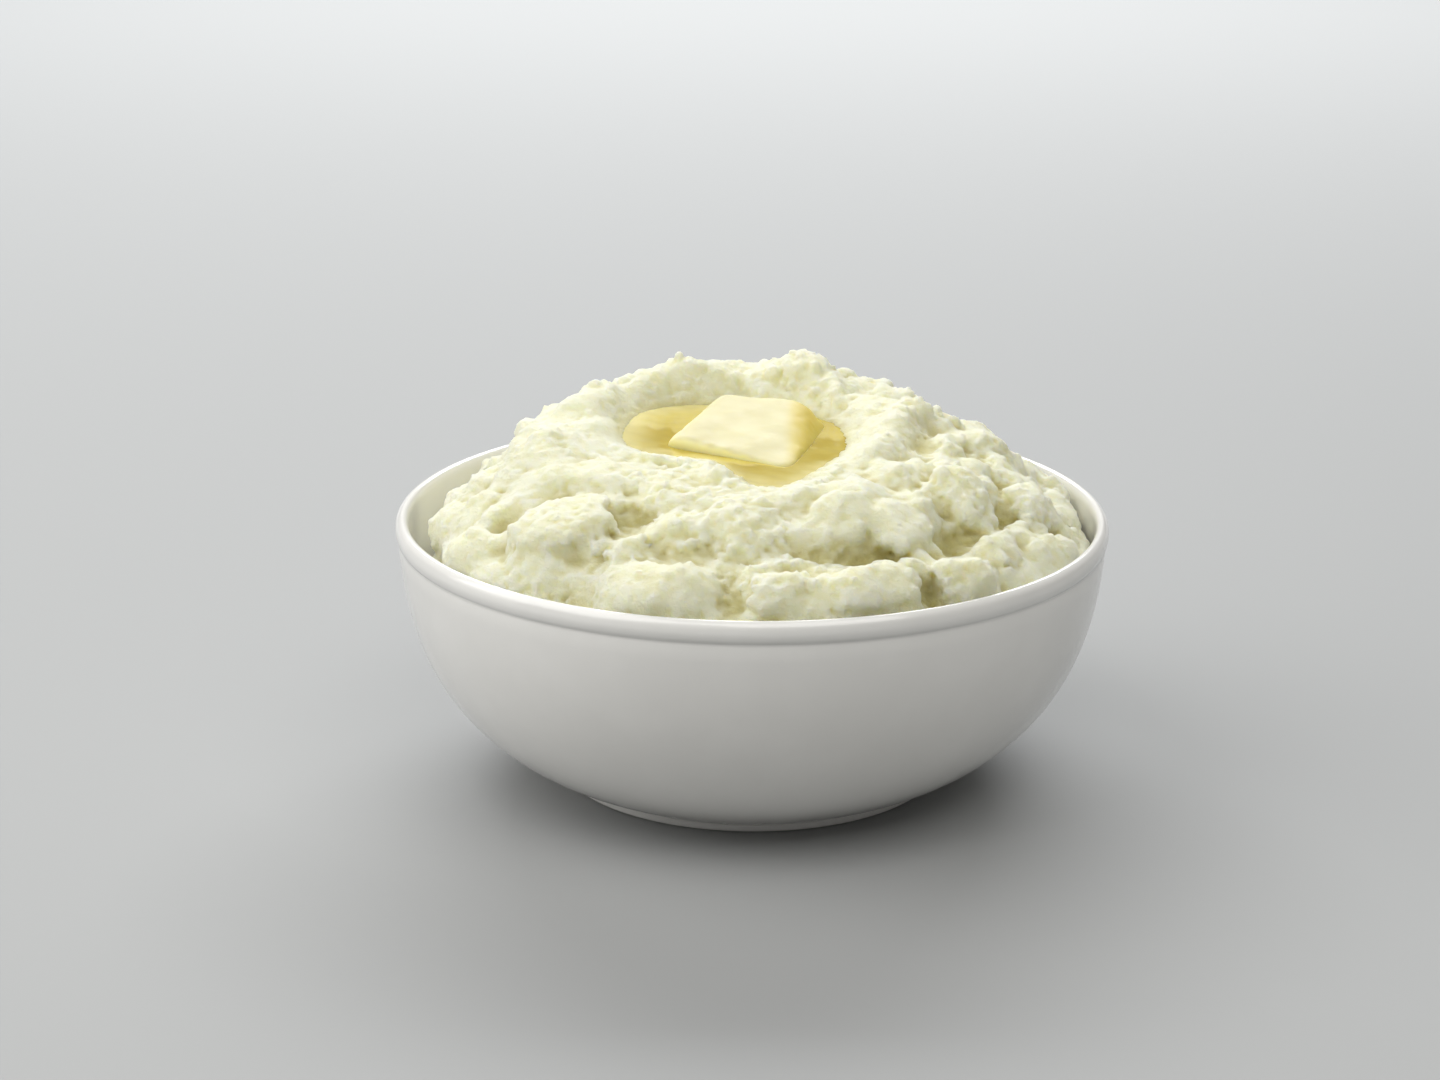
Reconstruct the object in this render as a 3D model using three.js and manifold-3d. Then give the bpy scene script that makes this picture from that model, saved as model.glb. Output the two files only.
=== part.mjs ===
// A serving bowl of mashed potato with a pat of butter melting in the hollow on top.
// Millimetres, +Z up. The origin is on the bowl's axis, at the plane its foot stands on.
// The front is -Y, where the hollow's low lip is. The mash stands clear of the wall at the left.

import * as THREE from "three";
import { mergeVertices } from "three/addons/utils/BufferGeometryUtils.js";
import { RoundedBoxGeometry } from "three/addons/geometries/RoundedBoxGeometry.js";
import Module from "manifold-3d";

// ---- Driving dimensions ----

const GAP = 0.35; // clearance between pieces that touch
const LEAST = 0.15; // thinnest step worth keeping between two rings

// The bowl: plain white glazed ware on a low foot ring, with a rolled rim
const RIM_RADIUS = 100;
const BOWL_HEIGHT = 75.8;
const FOOT_RADIUS = 54.8;
const FOOT_WIDTH = 6.4;
const FOOT_HEIGHT = 2.8;
const FLOOR_THICKNESS = 4.2;
const RIM_BEAD = 6.2; // height of the rolled rim
const BOWL_SIDES = 60;

// The mound of mash
const HOLLOW_CENTRE = new THREE.Vector2(-5, 4);
const CREST_HALF_WIDTH = 41; // from the hollow's centre to the crest round it, along X
const CREST_HALF_DEPTH = 52; // the same along Y
const CREST_HEIGHT = 94; // lowest crest, at the front lip
const CONTACT_HEIGHT = 72.5; // where the mash meets the bowl's wall
const SKIN = 3.5; // how far the body of the mound lies under its lumps
const BLEND = 1.2; // how softly the lumps run together
const CREVICE_BLEND = 2.4; // and how softly the crevices' edges are rounded
const STEEPEST = 0.75; // the most that relief leans out over the slope
const MOUND_RINGS = 36;
const LUMP_FLATNESS = 0.85; // a lump's half-height as a share of its plan size
const CREVICE_FLARE = 0.25; // how a crevice opens upwards

// The butter
const POOL_LEVEL = 93.5;
const PAT = { width: 37.5, depth: 41.5, thickness: 12, corner: 2.6 };
const PAT_CENTRE = new THREE.Vector3(-0.8, 10.6, 90.8);
const PAT_TURN = -22.6; // degrees about Z
const PAT_PITCH = 5.7; // degrees, its back edge raised
const PAT_ROLL = 2.9; // degrees, its right end sunk
const PAT_MELT = { inwards: 6, down: 3.2 }; // how far its back right corner has melted away

const SEED = 20817;

// ---- Small helpers ----

const radians = THREE.MathUtils.degToRad;

// A repeatable random source between 0 and 1 (mulberry32)
function randomSource(seed) {
  let state = seed;
  return () => {
    state = (state + 0x6d2b79f5) | 0;
    let mixed = Math.imul(state ^ (state >>> 15), 1 | state);
    mixed = (mixed + Math.imul(mixed ^ (mixed >>> 7), 61 | mixed)) ^ mixed;
    return ((mixed ^ (mixed >>> 14)) >>> 0) / 4294967296;
  };
}

// A smooth bump of 1 at the bearing `at`, fading over `width` degrees
function bearingBump(bearing, at, width) {
  const away = ((((bearing - at) % 360) + 540) % 360) - 180;
  return Math.exp(-((away / width) ** 2));
}

// A closed surface from a stack of rings, each a list of points running anticlockwise seen from +Z.
// The stack runs from the top down, and a ring of one point is a pole. Rings may differ in count.
function stackRings(rings) {
  const positions = [];
  const starts = rings.map((ring) => {
    const start = positions.length / 3;
    ring.forEach((point) => positions.push(point.x, point.y, point.z));
    return start;
  });
  const index = [];
  for (let r = 0; r + 1 < rings.length; r++) {
    stitchRings(index, starts[r], rings[r].length, starts[r + 1], rings[r + 1].length);
  }
  const geometry = new THREE.BufferGeometry();
  geometry.setAttribute("position", new THREE.Float32BufferAttribute(positions, 3));
  geometry.setIndex(index);
  return geometry;
}

// The band of triangles between an upper ring and the one below it
function stitchRings(index, upper, upperCount, lower, lowerCount) {
  let u = 0;
  let l = 0;
  const upperSteps = upperCount > 1 ? upperCount : 0;
  const lowerSteps = lowerCount > 1 ? lowerCount : 0;
  while (u < upperSteps || l < lowerSteps) {
    const nextUpper = upperSteps ? (u + 1) / upperSteps : Infinity;
    const nextLower = lowerSteps ? (l + 1) / lowerSteps : Infinity;
    const a = upper + (u % upperCount);
    const b = lower + (l % lowerCount);
    if (l < lowerSteps && (u >= upperSteps || nextLower <= nextUpper)) {
      index.push(a, b, lower + ((l + 1) % lowerCount));
      l++;
    } else {
      index.push(a, b, upper + ((u + 1) % upperCount));
      u++;
    }
  }
}

const wasm = await Module();
wasm.setup();

// A geometry as a manifold-3d solid, and back
function toSolid(geometry) {
  const bare = geometry.clone();
  bare.deleteAttribute("normal");
  bare.deleteAttribute("uv");
  const merged = mergeVertices(bare, 1e-4);
  return new wasm.Manifold(
    new wasm.Mesh({
      numProp: 3,
      vertProperties: new Float32Array(merged.attributes.position.array),
      triVerts: new Uint32Array(merged.index.array),
    }),
  );
}

function toGeometry(solid) {
  const mesh = solid.getMesh();
  const geometry = new THREE.BufferGeometry();
  geometry.setAttribute("position", new THREE.BufferAttribute(mesh.vertProperties, 3));
  geometry.setIndex(new THREE.BufferAttribute(mesh.triVerts, 1));
  geometry.computeVertexNormals();
  return geometry;
}

// The largest of the bodies that a cut leaves
function largestBody(solid) {
  return solid.decompose().reduce((best, body) => (body.volume() > best.volume() ? body : best));
}

// ---- The bowl ----

// Both walls are curves in the half plane: x is the radius and y the height
const outerWall = new THREE.CubicBezierCurve(
  new THREE.Vector2(FOOT_RADIUS + 1.2, FOOT_HEIGHT + 0.3),
  new THREE.Vector2(75.5, 11.6),
  new THREE.Vector2(97.2, 27.6),
  new THREE.Vector2(99.2, BOWL_HEIGHT - RIM_BEAD - 0.6),
);
const innerWall = new THREE.CubicBezierCurve(
  new THREE.Vector2(45, FOOT_HEIGHT + FLOOR_THICKNESS),
  new THREE.Vector2(71.5, 9.6),
  new THREE.Vector2(93.8, 29.5),
  new THREE.Vector2(95.9, BOWL_HEIGHT - RIM_BEAD),
);
const innerWallSteps = innerWall.getPoints(8);

// The bowl's inner radius at a height above its floor
function innerRadius(height) {
  const last = innerWallSteps[innerWallSteps.length - 1];
  if (height >= last.y) return last.x;
  const next = innerWallSteps.findIndex((step) => step.y > height);
  if (next <= 0) return innerWallSteps[0].x;
  const below = innerWallSteps[next - 1];
  const above = innerWallSteps[next];
  const share = (height - below.y) / (above.y - below.y);
  return THREE.MathUtils.lerp(below.x, above.x, share);
}

function bowlGeometry() {
  const beadLow = BOWL_HEIGHT - RIM_BEAD;
  const foot = [
    [0, FOOT_HEIGHT],
    [FOOT_RADIUS - FOOT_WIDTH, FOOT_HEIGHT],
    [FOOT_RADIUS - FOOT_WIDTH + 1.2, 0],
    [FOOT_RADIUS - 1, 0],
    [FOOT_RADIUS, 0.9],
    [FOOT_RADIUS - 0.4, FOOT_HEIGHT - 0.3],
  ];
  const rim = [
    [RIM_RADIUS - 0.9, beadLow + 0.1],
    [RIM_RADIUS - 0.1, beadLow + 1.6],
    [RIM_RADIUS, beadLow + 3.4],
    [RIM_RADIUS - 0.6, beadLow + 5.2],
    [RIM_RADIUS - 1.9, BOWL_HEIGHT],
    [RIM_RADIUS - 3.1, BOWL_HEIGHT - 0.5],
    [RIM_RADIUS - 3.8, BOWL_HEIGHT - 2.2],
  ];
  const profile = [
    ...foot.map(([radius, height]) => new THREE.Vector2(radius, height)),
    ...outerWall.getPoints(8),
    ...rim.map(([radius, height]) => new THREE.Vector2(radius, height)),
    ...innerWallSteps.toReversed(),
    new THREE.Vector2(0, FOOT_HEIGHT + FLOOR_THICKNESS - 0.2),
  ];
  return new THREE.LatheGeometry(profile, BOWL_SIDES).rotateX(Math.PI / 2);
}

// ---- The mound ----

// Height of the crest round the hollow, by bearing in degrees from +X
function crestHeight(bearing) {
  return (
    CREST_HEIGHT +
    4 * bearingBump(bearing, 172, 44) +
    9 * bearingBump(bearing, 112, 30) +
    8.5 * bearingBump(bearing, 68, 26) +
    4.5 * bearingBump(bearing, 18, 34)
  );
}

// Height at which the mash meets the wall: deep down the left and the back left side
function contactHeight(bearing) {
  return (
    CONTACT_HEIGHT -
    18 * bearingBump(bearing, 176, 38) -
    6 * bearingBump(bearing, 48, 28) -
    4 * bearingBump(bearing, 0, 16)
  );
}

// How full the mound's outer slope is: 1 is straight, more bulges and ends steeper
function fullness(bearing) {
  return (
    1.55 +
    0.5 * bearingBump(bearing, 172, 42) +
    0.35 * bearingBump(bearing, 90, 40) +
    0.5 * bearingBump(bearing, 10, 45)
  );
}

// The mound without its lumps: from the wall up to a crest, then down to the butter's level
function moundHeight(x, y) {
  const bearing = THREE.MathUtils.radToDeg(Math.atan2(y, x));
  const crest = crestHeight(bearing);
  const reach = hollowReach(x, y);
  if (reach < 1) {
    const inner = POOL_LEVEL + 0.5;
    return inner + (crest - inner) * THREE.MathUtils.smoothstep(reach, 0.74, 1);
  }
  const outwards = (reach - 1) * CREST_HALF_WIDTH;
  const left = Math.max(innerRadius(CONTACT_HEIGHT) - Math.hypot(x, y), 0);
  const share = outwards / (outwards + left + 1e-6);
  return crest - (crest - contactHeight(bearing)) * share ** fullness(bearing);
}

// How far a place is from the hollow's centre, as a share of the way to the crest
function hollowReach(x, y) {
  return Math.hypot(
    (x - HOLLOW_CENTRE.x) / CREST_HALF_WIDTH,
    (y - HOLLOW_CENTRE.y) / CREST_HALF_DEPTH,
  );
}

// Main lumps: place in plan, half-length, half-width, rise above the mound and turn in degrees
const MAIN_LUMPS = [
  { x: -54, y: -8, long: 17, wide: 13, rise: 4.5, turn: 70 }, // left shoulder
  { x: -46, y: 27, long: 11, wide: 8, rise: 5.5, turn: 25 }, // its top
  { x: -60, y: 10, long: 11, wide: 9, rise: 2.5, turn: 80 }, // its outer side
  { x: -22, y: 56, long: 14, wide: 8, rise: 4, turn: 15 }, // left peak behind the hollow
  { x: -6, y: 57, long: 9, wide: 7, rise: 2.5, turn: -10 }, // saddle between the peaks
  { x: 15, y: 58, long: 9, wide: 7.5, rise: 5.5, turn: 0 }, // right peak
  { x: 28, y: 43, long: 12, wide: 8, rise: 4.5, turn: -50 }, // big lump behind the butter's right end
  { x: 39, y: 44, long: 10, wide: 7, rise: 5, turn: -30 }, // ridge far to the right
  { x: 43, y: 16, long: 18, wide: 7, rise: 5.5, turn: 75 }, // long smooth ridge, upper end
  { x: 35, y: -10, long: 19, wide: 7, rise: 5, turn: 62 }, // long smooth ridge, middle
  { x: 14, y: -47, long: 17, wide: 7, rise: 3.5, turn: 35 }, // long smooth ridge, lower end
  { x: -47, y: -52, long: 18, wide: 14, rise: 5, turn: 50 }, // belly at the left
  { x: -73, y: -46, long: 12, wide: 8, rise: 5, turn: -60 }, // lump at the left rim
  { x: -64, y: -63, long: 10, wide: 7, rise: 4, turn: -45 }, // the next one along the rim
  { x: -81, y: -17, long: 9, wide: 7, rise: 5, turn: 80 }, // left edge
  { x: -22, y: -82, long: 17, wide: 11, rise: 5, turn: -5 }, // large lump at the front left rim
  { x: -18, y: -63, long: 10, wide: 6, rise: 3, turn: -20 },
  { x: -25, y: -34, long: 14, wide: 8, rise: 2.5, turn: -30 }, // lip at the hollow's front left
  { x: -11, y: -27, long: 9, wide: 7, rise: 3, turn: 75 }, // lobe that juts into the butter
  { x: 25, y: -56, long: 12, wide: 8, rise: 4.5, turn: 10 }, // blocky lump under the ridge
  { x: 38, y: -58, long: 9, wide: 8, rise: 4, turn: 40 },
  { x: 58, y: -29, long: 9, wide: 8, rise: 6, turn: 80 }, // round lump at the right
  { x: 53, y: 3, long: 11, wide: 7, rise: 2.5, turn: 80 },
  { x: 63, y: 16, long: 12, wide: 8, rise: 3, turn: 30 },
  { x: 76, y: -15, long: 9, wide: 6, rise: 4, turn: 90 },
  { x: 82, y: -36, long: 10, wide: 7, rise: 4, turn: 65 }, // smooth lump at the right rim
  { x: 66, y: -48, long: 9, wide: 5, rise: 3.5, turn: 75 },
  { x: 56, y: -68, long: 10, wide: 8, rise: 6, turn: 45 }, // bright lump at the front right rim
  { x: 26, y: -82, long: 15, wide: 8, rise: 4.5, turn: 12 }, // long lump at the front rim
  { x: 4, y: -85, long: 11, wide: 7, rise: 4, turn: 0 }, // the one beside it
];

// Deep crevices and pits between them: both ends, width and depth under the mound
const CREVICES = [
  { from: [2, -73], to: [38, -66], width: 3, depth: 5 }, // long crevice over the front row
  { from: [-33, -60], to: [-31, -54], width: 3.4, depth: 6 },
  { from: [-20, -71], to: [-11, -71], width: 2.6, depth: 5 },
  { from: [-50, -76], to: [-44, -80], width: 3.4, depth: 6 },
  { from: [-7, -90], to: [-6, -80], width: 2.2, depth: 5 },
  { from: [51, -54], to: [55, -50], width: 2.6, depth: 7 },
  { from: [66, -33], to: [68, -28], width: 2.6, depth: 7 },
  { from: [48, -14], to: [50, 12], width: 2.4, depth: 3 },
  { from: [80, 10], to: [83, 20], width: 3, depth: 6 },
];

// The lumps that fill in between: sizes drawn by a rule, kept off the main ones and off the left wall
const FILL_LUMPS = 190;
const FILL_TRIES = 5000;
const FILL_SIZE = { least: 4.2, most: 8.8 };
const FILL_APART = { main: 0.72, fill: 0.66 }; // least distance to another, as a share of both sizes
const FILL_WALL_ROOM = 8;

function fillLumps(main) {
  const random = randomSource(SEED);
  const lumps = [];
  const wall = innerRadius(CONTACT_HEIGHT);
  const limit = wall - FILL_SIZE.least;
  for (let tries = 0; tries < FILL_TRIES && lumps.length < FILL_LUMPS; tries++) {
    const radius = limit * Math.sqrt(random());
    const bearing = 2 * Math.PI * random();
    const size = THREE.MathUtils.lerp(FILL_SIZE.least, FILL_SIZE.most, random() ** 1.6);
    const x = radius * Math.cos(bearing);
    const y = radius * Math.sin(bearing);
    const lump = {
      x,
      y,
      long: size * (1 + 0.4 * random()),
      wide: size,
      rise: size * (0.3 + 0.35 * random()),
      turn: 360 * random(),
    };
    const clear = (other, share) =>
      Math.hypot(other.x - x, other.y - y) > share * (0.5 * (other.long + other.wide) + size);
    const room = FILL_WALL_ROOM * bearingBump(THREE.MathUtils.radToDeg(bearing), 174, 36);
    const inside = radius + size < wall - room;
    const fits =
      main.every((other) => clear(other, FILL_APART.main)) &&
      lumps.every((other) => clear(other, FILL_APART.fill));
    if (hollowReach(x, y) > 1 && inside && fits) lumps.push(lump);
  }
  return lumps;
}

// A lump as an ellipsoid whose top stands `rise` above the mound's own surface
function lumpBody(lump) {
  const tall = 0.5 * (lump.long + lump.wide) * LUMP_FLATNESS;
  const turn = radians(lump.turn);
  return {
    ...lump,
    tall,
    z: moundHeight(lump.x, lump.y) + lump.rise - tall,
    cos: Math.cos(turn),
    sin: Math.sin(turn),
    reach: lump.long + 14,
  };
}

const lumpBodies = [...MAIN_LUMPS, ...fillLumps(MAIN_LUMPS)].map(lumpBody);

// Signed distance to an ellipsoid, close enough near its surface
function lumpDistance(lump, point) {
  const dx = point.x - lump.x;
  const dy = point.y - lump.y;
  const along = dx * lump.cos + dy * lump.sin;
  const across = dy * lump.cos - dx * lump.sin;
  const up = point.z - lump.z;
  const scaled = Math.hypot(along / lump.long, across / lump.wide, up / lump.tall);
  const slope = Math.hypot(along / lump.long ** 2, across / lump.wide ** 2, up / lump.tall ** 2);
  return (scaled * (scaled - 1)) / Math.max(slope, 1e-6);
}

// Signed distance to a crevice: a capsule that follows the mound at the crevice's depth
function creviceDistance(crevice, point) {
  const [ax, ay] = crevice.from;
  const [bx, by] = crevice.to;
  const run = (bx - ax) ** 2 + (by - ay) ** 2;
  const share = ((point.x - ax) * (bx - ax) + (point.y - ay) * (by - ay)) / run;
  const along = THREE.MathUtils.clamp(share, 0, 1);
  const x = THREE.MathUtils.lerp(ax, bx, along);
  const y = THREE.MathUtils.lerp(ay, by, along);
  const side = Math.hypot(point.x - x, point.y - y);
  const above = point.z - (moundHeight(x, y) + crevice.width - crevice.depth);
  return Math.hypot(side, Math.min(above, 0)) - crevice.width - CREVICE_FLARE * Math.max(above, 0);
}

// Signed distance to the mash over the bowl's wall: the mound's body and its lumps run together, less
// the crevices
function mashDistance(point, lumps) {
  const skin = SKIN * THREE.MathUtils.smoothstep(hollowReach(point.x, point.y), 0.95, 1.2);
  let sum = Math.exp(-(point.z - moundHeight(point.x, point.y) + skin) / BLEND);
  for (const lump of lumps) sum += Math.exp(-lumpDistance(lump, point) / BLEND);
  let distance = -BLEND * Math.log(Math.max(sum, 1e-30));
  for (const crevice of CREVICES) {
    const cut = -creviceDistance(crevice, point);
    const nearness = Math.max(1 - Math.abs(distance - cut) / CREVICE_BLEND, 0);
    distance = Math.max(distance, cut) + 0.25 * CREVICE_BLEND * nearness ** 2;
  }
  return distance;
}

// The mound's outward direction, leaning with the slope but never far over
function moundNormal(x, y) {
  const step = 2;
  const slope = new THREE.Vector2(
    moundHeight(x + step, y) - moundHeight(x - step, y),
    moundHeight(x, y + step) - moundHeight(x, y - step),
  ).divideScalar(2 * step);
  slope.clampLength(0, STEEPEST);
  return new THREE.Vector3(-slope.x, -slope.y, 1).normalize();
}

// The point where a line that leaves the mound's body at (x, y), square to it, comes out of the mash
function mashPoint(x, y) {
  const step = 0.6;
  const deepest = -9;
  const highest = 18;
  const near = lumpBodies.filter((lump) => Math.hypot(lump.x - x, lump.y - y) < lump.reach);
  const foot = new THREE.Vector3(x, y, moundHeight(x, y));
  const normal = moundNormal(x, y);
  const at = (distance) => foot.clone().addScaledVector(normal, distance);
  let inside = deepest;
  while (inside + step < highest && mashDistance(at(inside + step), near) < 0) inside += step;
  let outside = inside + step;
  for (let i = 0; i < 8; i++) {
    const middle = 0.5 * (inside + outside);
    if (mashDistance(at(middle), near) < 0) inside = middle;
    else outside = middle;
  }
  return at(inside);
}

// Keeps a point of the mash clear of the bowl
function insideBowl(point) {
  const limit = innerRadius(point.z) - GAP;
  const radius = Math.hypot(point.x, point.y);
  if (radius > limit) {
    point.x *= limit / radius;
    point.y *= limit / radius;
  }
  return point;
}

// Ring positions from the hollow's centre (0) to the wall (1), evenly spaced along the slope
function evenRings(count) {
  const fine = 400;
  const edge = innerRadius(CONTACT_HEIGHT) - GAP;
  const lengths = [0];
  for (let i = 1; i <= fine; i++) {
    const inner = moundHeight(HOLLOW_CENTRE.x + (edge * (i - 1)) / fine, 0);
    const outer = moundHeight(HOLLOW_CENTRE.x + (edge * i) / fine, 0);
    lengths.push(lengths[i - 1] + Math.hypot(edge / fine, outer - inner));
  }
  return Array.from({ length: count }, (_, ring) => {
    const wanted = (lengths[fine] * ring) / (count - 1);
    return Math.max(lengths.findIndex((length) => length >= wanted), 0) / fine;
  });
}

// The mash: its lumpy upper side, then the side and bottom that fill the bowl
function moundGeometry() {
  const rings = evenRings(MOUND_RINGS).map((share, ring) => {
    const count = Math.max(6 * ring, 1);
    return Array.from({ length: count }, (_, i) => {
      const bearing = (2 * Math.PI * i) / count;
      const contact = contactHeight(THREE.MathUtils.radToDeg(bearing));
      const edge = innerRadius(contact) - GAP;
      const x = THREE.MathUtils.lerp(HOLLOW_CENTRE.x, edge * Math.cos(bearing), share);
      const y = THREE.MathUtils.lerp(HOLLOW_CENTRE.y, edge * Math.sin(bearing), share);
      if (share === 1) return new THREE.Vector3(x, y, contact);
      return insideBowl(mashPoint(x, y));
    });
  });
  const bottom = FOOT_HEIGHT + FLOOR_THICKNESS + GAP;
  const levels = [0.86, 0.68, 0.5, 0.34, 0.2, 0.1, 0.03, 0];
  const sides = 72;
  for (const level of levels) {
    rings.push(
      Array.from({ length: sides }, (_, i) => {
        const bearing = (2 * Math.PI * i) / sides;
        const contact = contactHeight(THREE.MathUtils.radToDeg(bearing));
        const height = THREE.MathUtils.lerp(bottom, contact, level);
        const radius = innerRadius(height) - GAP - LEAST;
        return new THREE.Vector3(radius * Math.cos(bearing), radius * Math.sin(bearing), height);
      }),
    );
  }
  rings.push([new THREE.Vector3(0, 0, bottom)]);
  return stackRings(rings);
}

// ---- The butter ----

// The pool's edge at its level, round from the right: a wide left end, a lobe of mash that pinches it
// in at the front left, and a narrow front end
const POOL_OUTLINE = new THREE.CatmullRomCurve3(
  [
    [26.5, 10],
    [23, 26],
    [8, 44],
    [-14, 47],
    [-30, 41],
    [-37.5, 19],
    [-33, -2],
    [-22, -11],
    [-12, -13],
    [-6, -24],
    [1, -37],
    [8, -39],
    [17, -25],
    [24, -6],
  ].map(([x, y]) => new THREE.Vector3(x, y, 0)),
  true,
);
const POOL_SIDES = 40;
const POOL_FLOOR = 84.6;
const POOL_STEEPNESS = 1.24; // of its bank, which runs out on the floor

// The hollow in the mash from its floor up to `top`, drawn in by `inset` all round
function hollowGeometry(inset, top) {
  const centre = new THREE.Vector3(HOLLOW_CENTRE.x, HOLLOW_CENTRE.y, 0);
  const edge = POOL_OUTLINE.getSpacedPoints(POOL_SIDES).slice(0, POOL_SIDES);
  const ringAt = (share, height) =>
    edge.map((point) => {
      const arm = point.clone().sub(centre);
      arm.setLength(arm.length() * share - inset);
      return new THREE.Vector3(centre.x + arm.x, centre.y + arm.y, height);
    });
  const floor = POOL_FLOOR + inset;
  const depth = POOL_LEVEL - POOL_FLOOR;
  const flare = top > POOL_LEVEL ? [ringAt(1.05, top)] : [];
  const shares = [0.97, 0.9, 0.8, 0.62, 0.35];
  const sides = shares.map((share) => {
    const height = POOL_LEVEL - depth * POOL_STEEPNESS * (1 - share) ** 0.5;
    return ringAt(share, Math.max(height, floor + 0.4 * share));
  });
  const level = ringAt(1, POOL_LEVEL);
  const middle = (height) => [new THREE.Vector3(centre.x, centre.y, height)];
  return stackRings([middle(top), ...flare, level, ...sides, middle(floor)]);
}

// The pat, softened as it melts: rounded all round, its right end slumped into the pool
function patGeometry(grow) {
  const { width, depth, thickness, corner } = PAT;
  const geometry = new RoundedBoxGeometry(
    width + 2 * grow,
    depth + 2 * grow,
    thickness + 2 * grow,
    2,
    corner + grow,
  );
  const place = geometry.attributes.position;
  for (let i = 0; i < place.count; i++) {
    const right = THREE.MathUtils.smoothstep(place.getX(i), 0.1 * width, 0.5 * width);
    const back = THREE.MathUtils.smoothstep(place.getY(i), -0.2 * depth, 0.5 * depth);
    const raised = THREE.MathUtils.smoothstep(place.getZ(i), -0.5 * thickness, 0.5 * thickness);
    const melted = right * (0.12 + 0.88 * back);
    place.setX(i, place.getX(i) - PAT_MELT.inwards * melted * raised);
    place.setZ(i, place.getZ(i) - PAT_MELT.down * melted * raised);
  }
  const turn = new THREE.Euler(radians(PAT_PITCH), radians(PAT_ROLL), radians(PAT_TURN), "ZXY");
  geometry.applyMatrix4(new THREE.Matrix4().makeRotationFromEuler(turn));
  return geometry.translate(PAT_CENTRE.x, PAT_CENTRE.y, PAT_CENTRE.z);
}

// ---- The group ----

function piece(name, geometry, color, roughness) {
  const material = new THREE.MeshStandardMaterial({ color, roughness, metalness: 0 });
  const mesh = new THREE.Mesh(geometry, material);
  mesh.name = name;
  return mesh;
}

const patHole = toSolid(patGeometry(GAP));
const hollow = toSolid(hollowGeometry(0, POOL_LEVEL + 5));
const mash = largestBody(toSolid(moundGeometry()).subtract(hollow).subtract(patHole));
const pool = largestBody(toSolid(hollowGeometry(GAP, POOL_LEVEL)).subtract(patHole));

const mashedPotatoSide = new THREE.Group();
mashedPotatoSide.name = "mashed_potato_side";
mashedPotatoSide.add(
  piece("bowl", bowlGeometry(), 0xe9e9e4, 0.15),
  piece("mashed_potato", toGeometry(mash), 0xefecd0, 0.55),
  piece("butter_pat", patGeometry(0), 0xfaf0c0, 0.35),
  piece("melted_butter", toGeometry(pool), 0xe4cc70, 0.1),
);

export default mashedPotatoSide;
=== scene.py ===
"""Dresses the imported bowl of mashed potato: glazed bowl, crumbly mash, soft pat, melted butter.

The soft pieces are worked out on a regular grid of distances in millimetres, started from the
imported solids, and turned into meshes in metres. The front is -Y and +Z is up.
"""

import math

import bpy
import numpy as np
import openvdb
from mathutils import Matrix, Vector


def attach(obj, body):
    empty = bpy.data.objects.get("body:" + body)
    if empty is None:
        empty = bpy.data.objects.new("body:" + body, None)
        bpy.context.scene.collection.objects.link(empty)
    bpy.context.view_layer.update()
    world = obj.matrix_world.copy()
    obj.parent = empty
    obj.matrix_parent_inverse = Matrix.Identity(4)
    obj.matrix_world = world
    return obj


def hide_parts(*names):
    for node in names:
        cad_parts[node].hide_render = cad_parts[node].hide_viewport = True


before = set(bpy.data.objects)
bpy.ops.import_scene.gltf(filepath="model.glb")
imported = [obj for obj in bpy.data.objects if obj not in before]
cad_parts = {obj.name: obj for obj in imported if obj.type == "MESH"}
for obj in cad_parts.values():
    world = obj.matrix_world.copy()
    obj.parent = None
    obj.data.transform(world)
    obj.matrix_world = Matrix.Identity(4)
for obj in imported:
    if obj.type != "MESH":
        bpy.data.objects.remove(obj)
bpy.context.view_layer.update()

MM = 0.001

# ---- Driving values, in millimetres ----

SEED = 4117
FINE = 0.8  # grid step of the mash
SMOOTH = 0.45  # grid step of the butter
BAND = 9.0  # how far from a surface its distances are kept

BOWL_HEIGHT = 75.8
RIM_RADIUS = 100.0
RIM_BEAD = 6.2
FOOT_RADIUS = 54.8
FOOT_WIDTH = 6.4
FOOT_HEIGHT = 2.8
FLOOR_THICKNESS = 4.2
BOWL_SIDES = 192
WALL_GAP = 0.25  # between the mash and the bowl's wall

POOL_LEVEL = 93.5
POOL_REACH = 4.2  # how far the melted butter runs on under the mash round it
POOL_CLIMB = 0.2  # how high it climbs the mash at its edge
POOL_CLIMB_WIDTH = 0.9
BANK_SLOPE = 1.1  # of the mash above the melted butter
BANK_CREASE = 2.5
BRIM = 7.0  # how far out the mash holds the melted butter in, where it would lie lower
BRIM_SLOPE = 0.25
BRIM_CREASE = 2.0

PAT_SIZE = (37.5, 41.5, 12.0)
PAT_CORNER = 2.6  # radius of its edges
PAT_CENTRE = (-0.8, 10.6, 90.8)
PAT_TURN = math.radians(-22.6)
PAT_PITCH = math.radians(5.7)
PAT_ROLL = math.radians(2.9)
PAT_RAISE = 0.8  # the whole top, upwards
PAT_LIFT = 2.2  # the back right corner, upwards
PAT_SPREAD = 2.5  # the back right corner, backwards
PAT_SKEW = 3.5  # the front edge, forwards at its right end and back at its left
PAT_REACH = 3.5  # the front right corner, to the right
PAT_BEVEL = 2.4  # off the top edge of the left end
PAT_MELT = (8.0, 20.0)  # how far right the top still reaches, at the back and at the front
PAT_MELT_SLOPE = 0.9

# ---- Camera: 19 degrees down at the bowl, from 900 mm ----

CAMERA_PLACE = Vector((0.0, -0.85112, 0.33257))
CAMERA_AIM = Vector((-0.00893, 0.0, 0.06652))
CAMERA_ROLL = math.radians(0.30)
CAMERA_LENS = 78.94


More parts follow.
